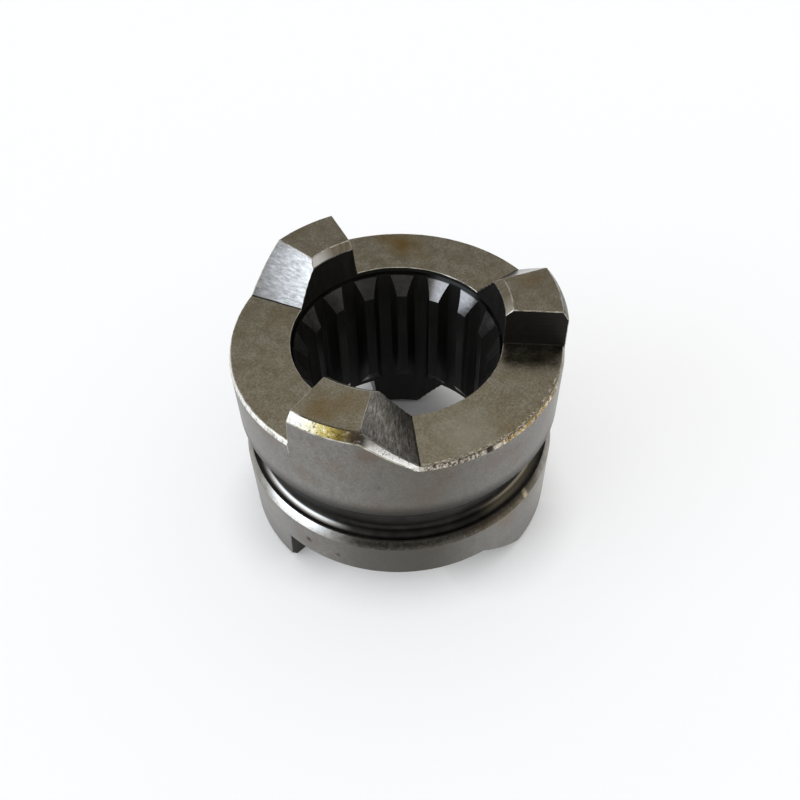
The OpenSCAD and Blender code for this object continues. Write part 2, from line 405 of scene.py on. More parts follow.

# %% [markdown]
# ## Groove
# The fork groove is turned too, but little has rubbed the black oxide and the oil out of it, so it is
# nearly black. A thin painted highlight lies in its lower round corner: a light line at the left and a brown
# one at the right.

# %% Oiled groove
groove, tree, shader, at = new_steel("oiled_groove_steel", 0.32)
film = add(tree, "ShaderNodeTexNoise", Vector=at["place"], Scale=0.5, Detail=4.0, Roughness=0.6)
film_share = add(tree, "ShaderNodeMapRange", Value=film.outputs[0], From_Min=0.3, From_Max=0.7)
skin = add(tree, "ShaderNodeMix", COLOUR_MIX, Factor=film_share.outputs[0], i6=linear("#1c1b19"),
           i7=linear("#2a2825"))
# Each painted highlight: heights and their softness, angles and their softness, share and colour
GROOVE_HIGHLIGHTS = [(14.20, 14.50, 0.12, 206.0, 244.0, 9.0, 0.95, "#b5b2ab"),
          (14.30, 15.00, 0.25, 306.0, 345.0, 8.0, 0.72, "#8f856f")]
colour = skin.outputs[2]
for low, high, soft, start, end, soft_end, share, hex_colour in GROOVE_HIGHLIGHTS:
    height = band(tree, at["height"], low, high, soft)
    length = arc(tree, at["angle"], start, end, soft_end)
    there = add(tree, "ShaderNodeMath", TIMES, i0=height, i1=length)
    amount = add(tree, "ShaderNodeMath", TIMES, i0=there.outputs[0], i1=share)
    colour = add(tree, "ShaderNodeMix", COLOUR_MIX, Factor=amount.outputs[0], i6=colour,
                 i7=linear(hex_colour)).outputs[2]
tree.links.new(colour, shader.inputs["Base Color"])
rings = add(tree, "ShaderNodeTexNoise", {"noise_dimensions": "1D"}, W=at["height"], Scale=6.0, Detail=2.0)
relief = add(tree, "ShaderNodeBump", Strength=0.12, Distance=0.01 * MM, Height=rings.outputs[0])
tree.links.new(relief.outputs[0], shader.inputs["Normal"])
print(groove.name, "has", len(tree.nodes), "nodes")

# %% [markdown]
# ## Ground ramps
# The ramps were ground after hardening by a wheel that moved in and out along the radius. The scratches run
# that way: fine, light and dark, a millimetre or two long. The steel is barer and brighter here than on the
# tops. The front ramp is worn coarser than the others.

# %% Ground ramps
RAMP_MIDDLE_R = 19.0

ramp, tree, shader, at = new_steel("ground_ramp_steel", 0.30)
# Scratches about 0.25 mm wide, which is coarser than on the real ramps, so that they show
round_mm = add(tree, "ShaderNodeMath", TIMES, i0=at["angle"], i1=RAMP_MIDDLE_R)
along = add(tree, "ShaderNodeMath", TIMES, i0=at["radius"], i1=0.16)
lanes = add(tree, "ShaderNodeCombineXYZ", X=round_mm.outputs[0], Y=along.outputs[0])
scratches = add(tree, "ShaderNodeTexNoise", Vector=lanes.outputs[0], Scale=4.2, Detail=4.0, Roughness=0.75)
scratch_share = add(tree, "ShaderNodeMapRange", Value=scratches.outputs[0], From_Min=0.34, From_Max=0.68)
on_front = stain(tree, at["place"], (1.5, -19.5, 34.5), 11.0)
dull = add(tree, "ShaderNodeMix", COLOUR_MIX, Factor=on_front, i6=linear("#74726e"), i7=linear("#665a49"))
steel = add(tree, "ShaderNodeMix", COLOUR_MIX, Factor=scratch_share.outputs[0], i6=dull.outputs[2],
            i7=linear("#a4a29e"))
# Grain of about 0.25 mm, coarser than the real one too. The steel is barer near the bore and the top.
grain = add(tree, "ShaderNodeTexNoise", Vector=at["place"], Scale=4.2, Detail=3.0, Roughness=0.8)
height = add(tree, "ShaderNodeMath", PLUS, i0=scratches.outputs[0], i1=grain.outputs[0])
contrast = add(tree, "ShaderNodeMapRange", Value=on_front, To_Min=0.5, To_Max=3.6)
centred = add(tree, "ShaderNodeMath", MINUS, i0=height.outputs[0], i1=1.0)
swing = add(tree, "ShaderNodeMath", TIMES, i0=centred.outputs[0], i1=contrast.outputs[0])
middle_tone = add(tree, "ShaderNodeMapRange", Value=on_front, To_Min=1.0, To_Max=1.7)
dots = add(tree, "ShaderNodeMath", PLUS, i0=swing.outputs[0], i1=middle_tone.outputs[0])
barer = add(tree, "ShaderNodeMapRange", Value=at["radius"], From_Min=BORE_R, From_Max=OUTSIDE_R, To_Min=1.29,
            To_Max=0.45)
cleaner = add(tree, "ShaderNodeMapRange", Value=at["height"], From_Min=RING_Z, From_Max=TOP_Z, To_Min=0.75,
              To_Max=1.15)
bare = add(tree, "ShaderNodeMath", TIMES, i0=barer.outputs[0], i1=cleaner.outputs[0])
tone = add(tree, "ShaderNodeMath", TIMES, i0=dots.outputs[0], i1=bare.outputs[0])
dotted = add(tree, "ShaderNodeMix", COLOUR_TIMES, Factor=1.0, i6=steel.outputs[2],
             i7=tone.outputs[0])
blotches = add(tree, "ShaderNodeTexNoise", Vector=at["place"], Scale=0.9, Detail=4.0, Roughness=0.6)
blotch_share = add(tree, "ShaderNodeMapRange", SOFT, Value=blotches.outputs[0], From_Min=0.45, From_Max=0.75,
                   To_Max=0.6)
stained = add(tree, "ShaderNodeMix", COLOUR_MIX, Factor=blotch_share.outputs[0], i6=dotted.outputs[2],
              i7=linear("#706c66"))
tree.links.new(stained.outputs[2], shader.inputs["Base Color"])
relief = add(tree, "ShaderNodeBump", Strength=0.3, Distance=0.015 * MM, Height=height.outputs[0])
tree.links.new(relief.outputs[0], shader.inputs["Normal"])
print(ramp.name, "has", len(tree.nodes), "nodes")

# %% [markdown]
# ## Ground bevels
# The outer edges of dogs and ring were bevelled by hand on a wheel. The steel is bare, with grinding marks
# across the bevel, and a painted highlight makes it nearly white beside the front ramp. On the front dog and
# along the front of the ring a yellow-brown film of old oil covers it, with dark chips at its ends.

# %% Ground bevels with their stains
bevel_steel, tree, shader, at = new_steel("ground_bevel_steel", 0.42)
round_mm = add(tree, "ShaderNodeMath", TIMES, i0=at["angle"], i1=OUTSIDE_R)
# Grinding marks about 0.3 mm wide and four times as long
across = add(tree, "ShaderNodeMath", TIMES, i0=at["height"], i1=0.25)
lanes = add(tree, "ShaderNodeCombineXYZ", X=round_mm.outputs[0], Y=across.outputs[0])
marks = add(tree, "ShaderNodeTexNoise", Vector=lanes.outputs[0], Scale=3.2, Detail=4.0, Roughness=0.7)
mark_share = add(tree, "ShaderNodeMapRange", Value=marks.outputs[0], From_Min=0.30, From_Max=0.56)
colour = add(tree, "ShaderNodeMix", COLOUR_MIX, Factor=mark_share.outputs[0], i6=linear("#938e82"),
             i7=linear("#dad8d2")).outputs[2]
patches = add(tree, "ShaderNodeTexNoise", Vector=at["place"], Scale=1.6, Detail=4.0, Roughness=0.7)
chips = add(tree, "ShaderNodeTexNoise", Vector=at["place"], Scale=2.5, Detail=3.0, Roughness=0.65)
on_ramp = band(tree, at["height"], RING_Z - 0.1, TOP_Z - 1.05, 0.3)
tip = add(tree, "ShaderNodeMapRange", SOFT, Value=at["height"], From_Min=TOP_Z - 2.05, From_Max=TOP_Z - 1.55)
on_tip = tip.outputs[0]
on_ring = band(tree, at["height"], RING_Z - 1.2, RING_Z + 0.5, 0.2)
# Each film: where it lies on the bevel, from which angle to which, how soft its ends are, the pattern and
# the values between which the film sets in there, its share and its colour. Values that go down leave bare
# flecks. The first entry is a painted highlight, not a film.
FILMS_AND_HIGHLIGHTS = [(on_ramp, 257.5, 276.5, 1.0, patches, (0.10, 0.30), 0.95, "#fcfaf6"),
         (on_ramp, 260.5, 276.5, 1.0, chips, (0.57, 0.66), 0.75, "#6b6253"),
         (on_tip, 240.0, 252.0, 4.0, patches, (0.15, 0.55), 0.80, "#cdc397"),
         (on_tip, 244.5, 254.5, 2.5, patches, (0.20, 0.55), 0.90, "#a8933c"),
         (on_tip, 249.8, 258.0, 2.5, patches, (0.22, 0.50), 0.90, "#6b5929"),
         (on_tip, 254.4, 260.5, 1.8, chips, (0.25, 0.45), 0.92, "#3a3025"),
         (on_tip, 239.0, 257.5, 3.0, chips, (0.55, 0.63), 0.75, "#4a3f20"),
         (on_tip, 236.0, 251.0, 3.0, chips, (0.40, 0.33), 0.60, "#f2eee2"),
         (on_tip, 352.0, 380.0, 3.0, patches, (0.10, 0.40), 0.92, "#484540"),
         (on_ring, 276.5, 299.0, 1.5, patches, (0.20, 0.50), 0.55, "#8a7a63"),
         (on_ring, 277.0, 296.0, 1.5, chips, (0.46, 0.58), 0.88, "#3d2f22"),
         (on_ring, 277.0, 300.0, 1.5, chips, (0.41, 0.34), 0.80, "#ece7da"),
         (on_ring, 297.6, 300.4, 0.6, patches, (0.10, 0.30), 0.95, "#1c1610"),
         (on_ring, 302.0, 336.0, 4.0, chips, (0.34, 0.54), 0.92, "#96772a"),
         (on_ring, 302.0, 340.0, 3.0, patches, (0.54, 0.62), 0.85, "#44351a"),
         (on_ring, 303.0, 334.0, 3.0, chips, (0.37, 0.30), 0.90, "#fbf6e8"),
         (on_ring, 334.0, 372.0, 4.0, patches, (0.20, 0.45), 0.75, "#6f6a5f")]
for zone, start, end, soft, pattern, (low, high), share, hex_colour in FILMS_AND_HIGHLIGHTS:
    length = arc(tree, at["angle"], start, end, soft)
    spread = add(tree, "ShaderNodeMapRange", SOFT, Value=pattern.outputs[0], From_Min=low, From_Max=high,
                 To_Max=share)
    there = add(tree, "ShaderNodeMath", TIMES, i0=zone, i1=length)
    amount = add(tree, "ShaderNodeMath", TIMES, i0=there.outputs[0], i1=spread.outputs[0])
    colour = add(tree, "ShaderNodeMix", COLOUR_MIX, Factor=amount.outputs[0], i6=colour,
                 i7=linear(hex_colour)).outputs[2]
# A thin brown film on other bevels, so that none is evenly bright
thin = add(tree, "ShaderNodeTexNoise", Vector=at["place"], Scale=0.22, Detail=3.0)
thin_share = add(tree, "ShaderNodeMapRange", SOFT, Value=thin.outputs[0], From_Min=0.52, From_Max=0.70,
                 To_Max=0.6)
colour = add(tree, "ShaderNodeMix", COLOUR_MIX, Factor=thin_share.outputs[0], i6=colour,
             i7=linear("#85795f")).outputs[2]
tree.links.new(colour, shader.inputs["Base Color"])
dull = add(tree, "ShaderNodeMapRange", Value=patches.outputs[0], From_Min=0.3, From_Max=0.7, To_Min=0.34,
           To_Max=0.56)
tree.links.new(dull.outputs[0], shader.inputs["Roughness"])
rough = add(tree, "ShaderNodeMath", PLUS, i0=marks.outputs[0], i1=patches.outputs[0])
relief = add(tree, "ShaderNodeBump", Strength=0.85, Distance=0.05 * MM, Height=rough.outputs[0])
tree.links.new(relief.outputs[0], shader.inputs["Normal"])
print(bevel_steel.name, "has", len(FILMS_AND_HIGHLIGHTS), "films and", len(tree.nodes), "nodes")

# %% [markdown]
# ## Inner bevels
# The edges on the bore side of the dogs were bevelled as well. They are brown-grey like the tops, but
# lighter and streaked, because the skin is thin on them. One end is rubbed bright on the left dog and on
# the right one.

# %% Inner bevels of the dogs
inner_bevel, tree, shader, at = new_steel("ground_inner_bevel_steel", 0.36)
round_mm = add(tree, "ShaderNodeMath", TIMES, i0=at["angle"], i1=BORE_R)
across = add(tree, "ShaderNodeMath", TIMES, i0=at["height"], i1=0.4)
lanes = add(tree, "ShaderNodeCombineXYZ", X=round_mm.outputs[0], Y=across.outputs[0])
streaks = add(tree, "ShaderNodeTexNoise", Vector=lanes.outputs[0], Scale=1.6, Detail=5.0, Roughness=0.72)
streak_share = add(tree, "ShaderNodeMapRange", Value=streaks.outputs[0], From_Min=0.32, From_Max=0.66)
steel = add(tree, "ShaderNodeMix", COLOUR_MIX, Factor=streak_share.outputs[0], i6=linear("#5f5645"),
            i7=linear("#8b816e"))
RUBBED_ENDS = [((-11.6, 10.0, 36.6), "#f6f3ec"), ((15.4, -2.0, 36.6), "#b1aa9b")]
RUBBED_REACH = 4.4
colour = steel.outputs[2]
for middle, hex_colour in RUBBED_ENDS:
    bare = stain(tree, at["place"], middle, RUBBED_REACH)
    colour = add(tree, "ShaderNodeMix", COLOUR_MIX, Factor=bare, i6=colour, i7=linear(hex_colour)).outputs[2]
tree.links.new(colour, shader.inputs["Base Color"])
relief = add(tree, "ShaderNodeBump", Strength=0.4, Distance=0.02 * MM, Height=streaks.outputs[0])
tree.links.new(relief.outputs[0], shader.inputs["Normal"])
print(inner_bevel.name, "has", len(tree.nodes), "nodes")

# %% [markdown]
# ## Flange bevel
# The bevel between the flange and the groove is turned and has been touched up, so it shines more than the
# drum. A painted highlight makes it bright at the left and painted shade makes it dark in front, and it has
# an olive-brown film with one bare fleck at the right. The bevel above the groove is as black as the groove
# and takes its finish.

# %% Turned bevel of the flange
flange_bevel, tree, shader, at = new_steel("turned_bevel_steel", 0.33)
clouds = add(tree, "ShaderNodeTexNoise", Vector=at["place"], Scale=0.8, Detail=5.0, Roughness=0.65)
cloud_share = add(tree, "ShaderNodeMapRange", Value=clouds.outputs[0], From_Min=0.3, From_Max=0.7)
colour = add(tree, "ShaderNodeMix", COLOUR_MIX, Factor=cloud_share.outputs[0], i6=linear("#66635d"),
             i7=linear("#8b8880")).outputs[2]
# Each film, painted highlight and painted shade: start, end and softness in degrees, share and colour. The
# first is a painted highlight and the second painted shade.
FLANGE_FILMS_AND_PAINTED_LIGHT = [(217.0, 239.0, 7.0, 0.95, "#d3d2ce"), (250.0, 300.0, 7.0, 0.80, "#37322b"),
                (296.0, 330.0, 5.0, 0.80, "#4b412e"), (319.6, 321.6, 0.6, 0.8, "#b3a488")]
mottle = add(tree, "ShaderNodeTexNoise", Vector=at["place"], Scale=2.2, Detail=3.0, Roughness=0.7)
mottle_share = add(tree, "ShaderNodeMapRange", Value=mottle.outputs[0], From_Min=0.25, From_Max=0.55,
                   To_Min=0.55)
for start, end, soft, share, hex_colour in FLANGE_FILMS_AND_PAINTED_LIGHT:
    length = arc(tree, at["angle"], start, end, soft)
    broken = add(tree, "ShaderNodeMath", TIMES, i0=length, i1=mottle_share.outputs[0])
    amount = add(tree, "ShaderNodeMath", TIMES, i0=broken.outputs[0], i1=share)
    colour = add(tree, "ShaderNodeMix", COLOUR_MIX, Factor=amount.outputs[0], i6=colour,
                 i7=linear(hex_colour)).outputs[2]
tree.links.new(colour, shader.inputs["Base Color"])
relief = add(tree, "ShaderNodeBump", Strength=0.3, Distance=0.01 * MM, Height=clouds.outputs[0])
tree.links.new(relief.outputs[0], shader.inputs["Normal"])
print(flange_bevel.name, "has", len(tree.nodes), "nodes")

# %% [markdown]
# ## Bore and spline
# The spline was broached before hardening and never touched again. Its flanks keep the black oxide, which
# is half matt, and the oil, with faint draw marks along the teeth. Only the cones that cut the ends of the
# teeth were finished after hardening: these are bare steel under a thin film of oil.

# %% Black spline and bore
SHADE_HIGH_Z = 27.0
SHADE_LOW_Z = 15.0

spline, tree, shader, at = new_steel("blackened_spline_steel", 0.42, metallic=0.4)
shader.inputs["Specular IOR Level"].default_value = 0.3
stretched = add(tree, "ShaderNodeVectorMath", TIMES, i0=at["place"], i1=(1.0, 1.0, 0.12))
draw = add(tree, "ShaderNodeTexNoise", Vector=stretched.outputs[0], Scale=3.0, Detail=3.0)
draw_share = add(tree, "ShaderNodeMapRange", Value=draw.outputs[0], From_Min=0.3, From_Max=0.7)
skin = add(tree, "ShaderNodeMix", COLOUR_MIX, Factor=draw_share.outputs[0], i6=linear("#191815"),
           i7=linear("#232220"))
# Painted shade: the lower half of the bore is darkened, as less light reaches down there
bore_shade = add(tree, "ShaderNodeMapRange", SOFT, Value=at["height"], From_Min=SHADE_HIGH_Z, From_Max=SHADE_LOW_Z,
           To_Max=0.75)
black = add(tree, "ShaderNodeMix", COLOUR_MIX, Factor=bore_shade.outputs[0], i6=skin.outputs[2],
            i7=linear("#0b0a09"))
tree.links.new(black.outputs[2], shader.inputs["Base Color"])
relief = add(tree, "ShaderNodeBump", Strength=0.3, Distance=0.01 * MM, Height=draw.outputs[0])
tree.links.new(relief.outputs[0], shader.inputs["Normal"])
print(spline.name, "has", len(tree.nodes), "nodes")

# %% Bare cones on the tooth ends
STRIP_R = 14.66

cone, tree, shader, at = new_steel("bored_cone_steel", 0.17, metallic=0.91)
film = add(tree, "ShaderNodeTexNoise", Vector=at["place"], Scale=1.3, Detail=5.0, Roughness=0.65)
film_share = add(tree, "ShaderNodeMapRange", Value=film.outputs[0], From_Min=0.3, From_Max=0.7)
steel = add(tree, "ShaderNodeMix", COLOUR_MIX, Factor=film_share.outputs[0], i6=linear("#666360"),
            i7=linear("#7d7b79"))
# Painted shade: the strip of the cone that is left above the tooth spaces is drawn dark
shaded_strip = add(tree, "ShaderNodeMapRange", SOFT, Value=at["radius"], From_Min=STRIP_R, From_Max=STRIP_R + 0.12)
black = add(tree, "ShaderNodeMix", COLOUR_MIX, Factor=shaded_strip.outputs[0], i6=steel.outputs[2],
            i7=linear("#1c1b19"))
tree.links.new(black.outputs[2], shader.inputs["Base Color"])
rings = add(tree, "ShaderNodeTexNoise", {"noise_dimensions": "1D"}, W=at["height"], Scale=5.0, Detail=2.0)
relief = add(tree, "ShaderNodeBump", Strength=0.2, Distance=0.01 * MM, Height=rings.outputs[0])
tree.links.new(relief.outputs[0], shader.inputs["Normal"])
print(cone.name, "has", len(tree.nodes), "nodes")

# %% [markdown]
# ## Driving faces, edges and corners
# The driving faces were milled and keep a black, half matt oxide, and those of the lower dogs are darkened
# further with painted shade. Outward edges are rubbed bright, but not evenly, so their colour goes in and out
# of the skin beside them. Inward corners are darkened with painted shade.

# %% Milled driving faces
drive, tree, shader, at = new_steel("milled_drive_steel", 0.40, metallic=0.3)
shader.inputs["Specular IOR Level"].default_value = 0.15
passes = add(tree, "ShaderNodeTexNoise", {"noise_dimensions": "1D"}, W=at["height"], Scale=2.4, Detail=3.0)
clouds = add(tree, "ShaderNodeTexNoise", Vector=at["place"], Scale=0.9, Detail=4.0, Roughness=0.6)
both = add(tree, "ShaderNodeMath", TIMES, i0=passes.outputs[0], i1=clouds.outputs[0])
share = add(tree, "ShaderNodeMapRange", Value=both.outputs[0], From_Min=0.12, From_Max=0.40)
skin = add(tree, "ShaderNodeMix", COLOUR_MIX, Factor=share.outputs[0], i6=linear("#14120f"),
           i7=linear("#1c1a17"))
# Painted shade: the driving faces of the lower dogs, under the flange, are darkened
under_flange_shade = add(tree, "ShaderNodeMapRange", SOFT, Value=at["height"], From_Min=LOW_RING_Z + 0.85,
            From_Max=LOW_RING_Z - 0.15, To_Max=0.85)
black = add(tree, "ShaderNodeMix", COLOUR_MIX, Factor=under_flange_shade.outputs[0], i6=skin.outputs[2],
            i7=linear("#0d0c0a"))
tree.links.new(black.outputs[2], shader.inputs["Base Color"])
relief = add(tree, "ShaderNodeBump", Strength=0.3, Distance=0.01 * MM, Height=passes.outputs[0])
tree.links.new(relief.outputs[0], shader.inputs["Normal"])
print(drive.name, "has", len(tree.nodes), "nodes")

# %% Rubbed edges
# The outer edge of the dog tops lies past this radius
DOG_TOP_R = 22.2

edge, tree, shader, at = new_steel("rubbed_edge_steel", 0.30)
rub = add(tree, "ShaderNodeTexNoise", Vector=at["place"], Scale=0.8, Detail=4.0, Roughness=0.7)
rub_share = add(tree, "ShaderNodeMapRange", Value=rub.outputs[0], From_Min=0.36, From_Max=0.62)
steel = add(tree, "ShaderNodeMix", COLOUR_MIX, Factor=rub_share.outputs[0], i6=linear("#77705f"),
            i7=linear("#bdb9ae"))
# A bright burr on the corner of the right dog
burr = stain(tree, at["place"], (15.6, -2.2, TOP_Z), 1.5)
bright = add(tree, "ShaderNodeMix", COLOUR_MIX, Factor=burr, i6=steel.outputs[2], i7=linear("#f0eee8"))
# The outer top edge of the front dog is dark and chipped
on_top = add(tree, "ShaderNodeMapRange", SOFT, Value=at["height"], From_Min=TOP_Z - 0.35,
             From_Max=TOP_Z - 0.15)
far_out = add(tree, "ShaderNodeMapRange", SOFT, Value=at["radius"], From_Min=DOG_TOP_R,
              From_Max=DOG_TOP_R + 0.3)
front_dog = arc(tree, at["angle"], 238.0, 259.5, 1.5)
top_rim = add(tree, "ShaderNodeMath", TIMES, i0=on_top.outputs[0], i1=far_out.outputs[0])
there = add(tree, "ShaderNodeMath", TIMES, i0=top_rim.outputs[0], i1=front_dog)
chipped = add(tree, "ShaderNodeMath", TIMES, i0=there.outputs[0], i1=0.9)
chipped_edge = add(tree, "ShaderNodeMix", COLOUR_MIX, Factor=chipped.outputs[0], i6=bright.outputs[2],
                   i7=linear("#2b2519"))
# So is the rim of the ring in front
chips = add(tree, "ShaderNodeTexNoise", Vector=at["place"], Scale=2.2, Detail=3.0, Roughness=0.7)
chip_share = add(tree, "ShaderNodeMapRange", SOFT, Value=chips.outputs[0], From_Min=0.44, From_Max=0.58,
                 To_Max=0.8)
on_ring = band(tree, at["height"], RING_Z - 1.2, RING_Z + 0.1, 0.1)
rim_length = arc(tree, at["angle"], *CHIPPED_RIM)
there = add(tree, "ShaderNodeMath", TIMES, i0=on_ring, i1=rim_length)
amount = add(tree, "ShaderNodeMath", TIMES, i0=there.outputs[0], i1=chip_share.outputs[0])
chipped_rim = add(tree, "ShaderNodeMix", COLOUR_MIX, Factor=amount.outputs[0], i6=chipped_edge.outputs[2],
                  i7=linear("#51452f"))
tree.links.new(chipped_rim.outputs[2], shader.inputs["Base Color"])
print(edge.name, "has", len(tree.nodes), "nodes")

# %% Painted shade in the corners
# Painted shade: the inward corners are drawn dark
corner_shade, tree, shader, at = new_steel("painted_shade_in_corner", 0.55, metallic=0.0)
shader.inputs["Specular IOR Level"].default_value = 0.1
corner_noise = add(tree, "ShaderNodeTexNoise", Vector=at["place"], Scale=2.0, Detail=3.0)
corner_noise_share = add(tree, "ShaderNodeMapRange", Value=corner_noise.outputs[0], From_Min=0.3, From_Max=0.7)
corner_colour = add(tree, "ShaderNodeMix", COLOUR_MIX, Factor=corner_noise_share.outputs[0], i6=linear("#100f0d"),
           i7=linear("#2c2822"))
tree.links.new(corner_colour.outputs[2], shader.inputs["Base Color"])
print(corner_shade.name, "has", len(tree.nodes), "nodes")

# %% All finishes
# The bevel above the groove has the groove's finish, but a number of its own, because it is rounder
FINISHES = [satin, drum, groove, ramp, bevel_steel, inner_bevel, flange_bevel, groove, spline, cone, drive,
            edge, corner_shade]
(SATIN, DRUM, GROOVE, RAMP, BEVEL, INNER_BEVEL, FLANGE_BEVEL, DRUM_BEVEL, SPLINE, CONE, DRIVE, EDGE,
 CORNER_SHADE) = range(len(FINISHES))
for finish in FINISHES:
    sleeve.data.materials.append(finish)
print("finishes:", [finish.name for finish in FINISHES])

# %% [markdown]
# ## Which face has which finish
# A face is recognised by its place and by the way it looks: outwards along the radius, round the axis, or
# up and down. The list goes from the special cases to the plain ones.


# %% Give each face its finish
# How much of a normal's length points one way, from nearly all of it to hardly any
STRAIGHT = 0.97
HALF = 0.5
SLOPED = 0.4
ASLANT = 0.35
HARDLY = 0.2
HAIR_MM = 0.05


def looks_towards(face):
    """The face's normal as its part outwards, its part round the axis and its part upwards."""
    away = Vector((face.center.x, face.center.y, 0)).normalized()
    around = Vector((-away.y, away.x, 0))
    return face.normal.dot(away), face.normal.dot(around), face.normal.z


def finish_of(face):
    outward, around, upward = looks_towards(face)
    radius = Vector((face.center.x, face.center.y)).length / MM
    height = face.center.z / MM
    if radius < BORE_R + HAIR_MM and outward < HARDLY:
        on_cone = ASLANT < abs(upward) < 1 - ASLANT and abs(around) < HARDLY
        return CONE if on_cone else SPLINE
    if GROOVE_LOW_Z - HAIR_MM < height < GROOVE_HIGH_Z + HAIR_MM:
        return GROOVE
    if FLANGE_Z < height < DRUM_Z and abs(upward) > HARDLY:
        return FLANGE_BEVEL if height < GROOVE_LOW_Z else DRUM_BEVEL
    if outward > STRAIGHT:
        return DRUM
    if outward > ASLANT:
        return BEVEL
    if abs(upward) > STRAIGHT:
        return SATIN
    if abs(upward) > SLOPED and abs(around) > SLOPED:
        return RAMP
    if outward < -HALF:
        return INNER_BEVEL
    return DRIVE


counts = [0] * len(FINISHES)
for face in sleeve.data.polygons:
    face.material_index = finish_of(face)
    counts[face.material_index] += 1
print("faces of each finish", counts)

# %% [markdown]
# ## Worn edges
# Two bevels break the edges, one for the outward edges and one for the inward corners, because the first
# are rubbed bright and the second are darkened with painted shade. Very short edges beside a corner would
# make a bevel fold over, so their ends are joined first. The bevels are real geometry, so the lines stay when
# the model leaves Blender.

# %% Helpers for the worn edges
EDGE_MM = 0.11
CORNER_MM = 0.13
SHARP_DEGREES = 31
SHORT_MM = 0.16
# Long edges are cut to pieces of this length, so that the wear can vary along them
PIECE_MM = 0.5
# Painted shade lies only in corners this close to a ring face
FOOT_MM = 0.3
# Edges inside the first radius belong to the spline, and corners outside the second to the ring faces
SPLINE_EDGE_R = BORE_R - 0.1
RING_CORNER_R = BORE_R + 0.2
SPLINE_EDGE_SHARE = 0.5


def is_sharp(edge):
    return len(edge.link_faces) == 2 and edge.calc_face_angle(0.0) > math.radians(SHARP_DEGREES)


def sharp_edges_at(point):
    return sum(is_sharp(edge) for edge in point.link_edges)


def join_short_edges(mesh):
    joined = 0
    for edge in list(mesh.edges):
        if not edge.is_valid or edge.calc_length() > SHORT_MM * MM:
            continue
        if edge.verts[0].co.xy.length < SPLINE_EDGE_R * MM:
            continue
        spare, corner = sorted(edge.verts, key=sharp_edges_at)
        bmesh.ops.weld_verts(mesh, targetmap={spare: corner})
        joined += 1
    print("joined", joined, "short edges")


def bevel_share(edge, inward):
    """Share of the full bevel that an edge gets, or 0 where it isn't an edge of the wanted kind."""
    if not is_sharp(edge) or edge.is_convex == inward:
        return 0.0
    middle = (edge.verts[0].co + edge.verts[1].co) / 2 / MM
    radius = middle.xy.length
    if inward:
        from_ring = min(abs(middle.z - RING_Z), abs(middle.z - LOW_RING_Z))
        return 1.0 if radius > RING_CORNER_R and from_ring < FOOT_MM else 0.0
    return SPLINE_EDGE_SHARE if radius < SPLINE_EDGE_R else 1.0


def bevel_edges(inward, width_mm, finish_index):
    mesh = bmesh.new()
    mesh.from_mesh(sleeve.data)
    if not inward:
        join_short_edges(mesh)
        for edge in list(mesh.edges):
            pieces = round(edge.calc_length() / MM / PIECE_MM)
            if pieces > 1 and bevel_share(edge, inward) == 1.0:
                bmesh.ops.bisect_edges(mesh, edges=[edge], cuts=pieces - 1)
    layers = mesh.edges.layers.float
    weights = layers.get("bevel_weight_edge") or layers.new("bevel_weight_edge")
    chosen = 0
    for edge in mesh.edges:
        edge[weights] = bevel_share(edge, inward)
        chosen += edge[weights] > 0
    mesh.to_mesh(sleeve.data)
    mesh.free()
    bevel = sleeve.modifiers.new("worn edges", "BEVEL")
    bevel.width = width_mm * MM
    bevel.segments = 2
    bevel.limit_method = "WEIGHT"
    bevel.use_clamp_overlap = False
    bevel.material = finish_index
    bpy.ops.object.modifier_apply(modifier=bevel.name)
    print("bevelled", chosen, "edges, now", len(sleeve.data.polygons), "faces")


# %% Bevel the outward edges and the inward corners
bevel_edges(False, EDGE_MM, EDGE)
bevel_edges(True, CORNER_MM, CORNER_SHADE)

# %% [markdown]
# Wear isn't even. The line along the middle of each outward bevel is pushed in by a noise, by up to 0.05
# mm, so the edge gets flatter in one place and stays round in another. A bevel can also throw a corner
# point a hair past the tips of the dogs, and such a point is pulled back.

# %% Make the wear uneven
WEAR_MM = 0.05
# Waves of the wear for each millimetre, and the weight of the fine ones
COARSE_WEAR = 0.55
FINE_WEAR = 1.7
FINE_SHARE = 0.6

worn = bmesh.new()
worn.from_mesh(sleeve.data)
worn.normal_update()
pushed = 0
for point in worn.verts:
    if all(face.material_index == EDGE for face in point.link_faces):
        place = point.co / MM
        depth = max(0.0, noise.noise(place * COARSE_WEAR) + FINE_SHARE * noise.noise(place * FINE_WEAR))
        point.co -= point.normal * min(1.0, depth) * WEAR_MM * MM
        pushed += depth > 0
    point.co.z = min(max(point.co.z, cad_low[2]), cad_high[2])
worn.to_mesh(sleeve.data)
worn.free()
print("pushed in", pushed, "points on worn edges")

# %% [markdown]
# Not every edge is rubbed bright. In the bore and the groove nothing touches them, and on the drum's lower
# edge, the flange and the lower dogs they keep the colour beside them.

# %% Give the hidden edges the finish beside them
BORE_EDGE_R = BORE_R - 0.08
GROOVE_EDGE_LOW_Z = GROOVE_LOW_Z - 0.3
GROOVE_EDGE_HIGH_Z = DRUM_Z + 0.3
LOWEST_BRIGHT_Z = RING_Z - 2

hidden = 0
for face in sleeve.data.polygons:
    if face.material_index != EDGE:
        continue
    radius = Vector((face.center.x, face.center.y)).length / MM
    height = face.center.z / MM
    if radius < BORE_EDGE_R:
        face.material_index = SPLINE
    elif GROOVE_EDGE_LOW_Z < height < GROOVE_EDGE_HIGH_Z:
        face.material_index = GROOVE
    elif height < LOWEST_BRIGHT_Z:
        face.material_index = DRUM
    hidden += face.material_index != EDGE
print("faces on hidden edges", hidden)

